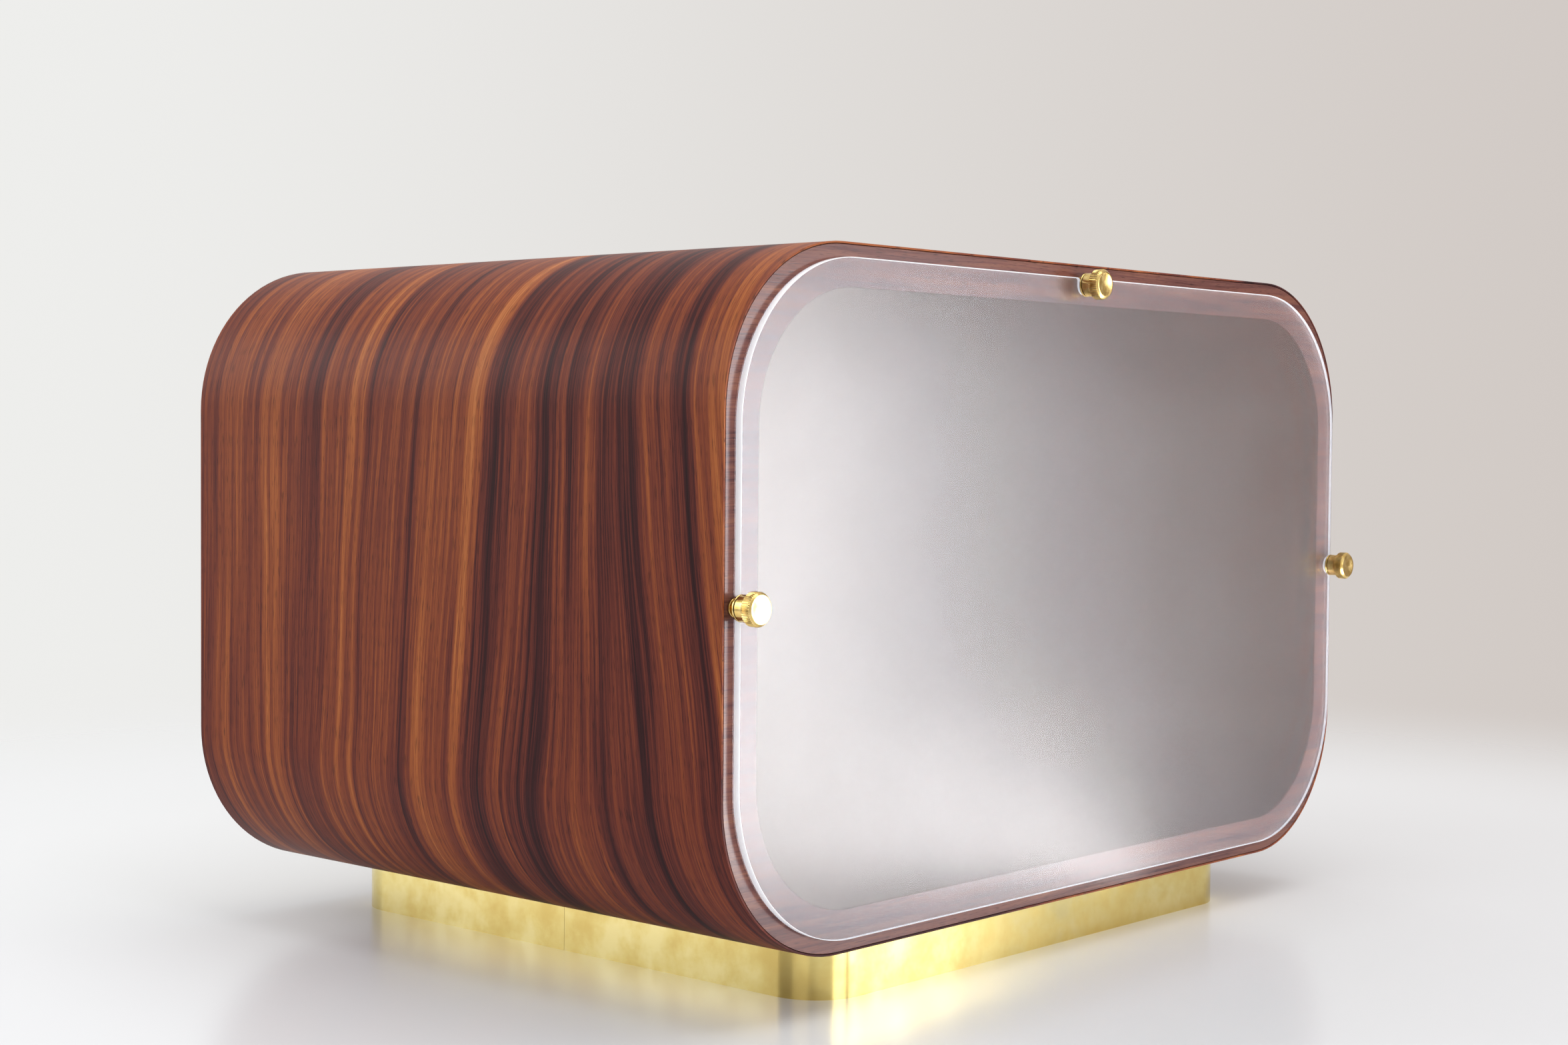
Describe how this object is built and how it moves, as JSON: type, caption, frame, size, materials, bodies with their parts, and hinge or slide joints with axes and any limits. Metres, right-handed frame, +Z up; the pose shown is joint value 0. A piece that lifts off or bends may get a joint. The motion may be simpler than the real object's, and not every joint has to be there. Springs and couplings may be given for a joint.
{
  "type": "tube television",
  "caption": "Television-style cabinet: rounded veneered case on a brass-clad plinth, with a frosted front sheet held by knurled brass thumb screws.",
  "frame": {"origin": "centre of the bounding box in X and Y, on the surface that the plinth stands on", "axes": "+X is the viewer's right, -Y is the front, where the frosted sheet is, and +Z is up"},
  "size_m": [0.4886, 0.368, 0.3253],
  "materials": {
    "rosewood_veneer": "satin lacquered figured veneer, grain running round the girth",
    "rim_veneer": "satin lacquered veneer, grain running across the width",
    "lining_veneer": "satin lacquered veneer",
    "birch_plywood": "bare, sanded",
    "pale_lacquered_board": "pale satin lacquer over board",
    "frosted_acrylic": "frosted on its faces, polished on its edge",
    "turned_brass": "turned and polished",
    "sheet_brass": "bright sheet with a mottled tarnish",
    "zinc_plated_steel": "zinc plated"
  },
  "bodies": {
    "cabinet": {"outer_veneer": "rosewood_veneer", "inner_lining": "lining_veneer", "front_rim_veneer": "rim_veneer", "recess_lining": "lining_veneer", "rear_rim_veneer": "rim_veneer", "top_board": "birch_plywood", "bottom_board": "birch_plywood", "left_board": "birch_plywood", "right_board": "birch_plywood", "corner_block_top_left": "birch_plywood", "corner_block_top_right": "birch_plywood", "corner_block_bottom_left": "birch_plywood", "corner_block_bottom_right": "birch_plywood", "spline_bottom_left_flat": "birch_plywood", "spline_bottom_left_upright": "birch_plywood", "spline_top_left_flat": "birch_plywood", "spline_top_left_upright": "birch_plywood", "spline_bottom_right_flat": "birch_plywood", "spline_bottom_right_upright": "birch_plywood", "spline_top_right_flat": "birch_plywood", "spline_top_right_upright": "birch_plywood", "threaded_bush_left": "turned_brass", "threaded_bush_top": "turned_brass", "threaded_bush_right": "turned_brass", "rear_board": "pale_lacquered_board", "rear_screw_bottom_left_flat": "turned_brass", "rear_screw_bottom_left_side": "turned_brass", "rear_screw_top_left_flat": "turned_brass", "rear_screw_top_left_side": "turned_brass", "rear_screw_bottom_right_flat": "turned_brass", "rear_screw_bottom_right_side": "turned_brass", "rear_screw_top_right_flat": "turned_brass", "rear_screw_top_right_side": "turned_brass", "brass_band": "sheet_brass", "plinth_rail_front": "birch_plywood", "plinth_rail_rear": "birch_plywood", "plinth_rail_left": "birch_plywood", "plinth_rail_right": "birch_plywood", "plinth_screw_front_left": "zinc_plated_steel", "plinth_screw_front_right": "zinc_plated_steel", "plinth_screw_rear_left": "zinc_plated_steel", "plinth_screw_rear_right": "zinc_plated_steel"},
    "front_sheet": {"front_sheet": "frosted_acrylic"},
    "left_washer": {"washer_left": "turned_brass"},
    "left_thumb_screw": {"thumb_screw_left": "turned_brass"},
    "top_washer": {"washer_top": "turned_brass"},
    "top_thumb_screw": {"thumb_screw_top": "turned_brass"},
    "right_washer": {"washer_right": "turned_brass"},
    "right_thumb_screw": {"thumb_screw_right": "turned_brass"}
  },
  "joints": [
    {"name": "front_sheet_lift_off", "type": "slide", "parent": "cabinet", "child": "front_sheet", "axis": [0, -1, 0], "range_m": [0, 0.06]},
    {"name": "left_thumb_screw_travel", "type": "slide", "parent": "front_sheet", "child": "left_washer", "axis": [0, -1, 0], "range_m": [0, 0.0085]},
    {"name": "left_thumb_screw_turn", "type": "hinge", "parent": "left_washer", "child": "left_thumb_screw", "pos_m": [-0.2375, -0.169, 0.1753], "axis": [0, -1, 0], "range_deg": [0, 4320]},
    {"name": "top_thumb_screw_travel", "type": "slide", "parent": "front_sheet", "child": "top_washer", "axis": [0, -1, 0], "range_m": [0, 0.0085]},
    {"name": "top_thumb_screw_turn", "type": "hinge", "parent": "top_washer", "child": "top_thumb_screw", "pos_m": [0, -0.169, 0.3155], "axis": [0, -1, 0], "range_deg": [0, 4320]},
    {"name": "right_thumb_screw_travel", "type": "slide", "parent": "front_sheet", "child": "right_washer", "axis": [0, -1, 0], "range_m": [0, 0.0085]},
    {"name": "right_thumb_screw_turn", "type": "hinge", "parent": "right_washer", "child": "right_thumb_screw", "pos_m": [0.2365, -0.169, 0.1753], "axis": [0, -1, 0], "range_deg": [0, 4320]}
  ],
  "couplings": [
    {"joint": "left_thumb_screw_travel", "follows": "left_thumb_screw_turn", "m_per_rad": 0.00011141},
    {"joint": "top_thumb_screw_travel", "follows": "top_thumb_screw_turn", "m_per_rad": 0.00011141},
    {"joint": "right_thumb_screw_travel", "follows": "right_thumb_screw_turn", "m_per_rad": 0.00011141}
  ]
}
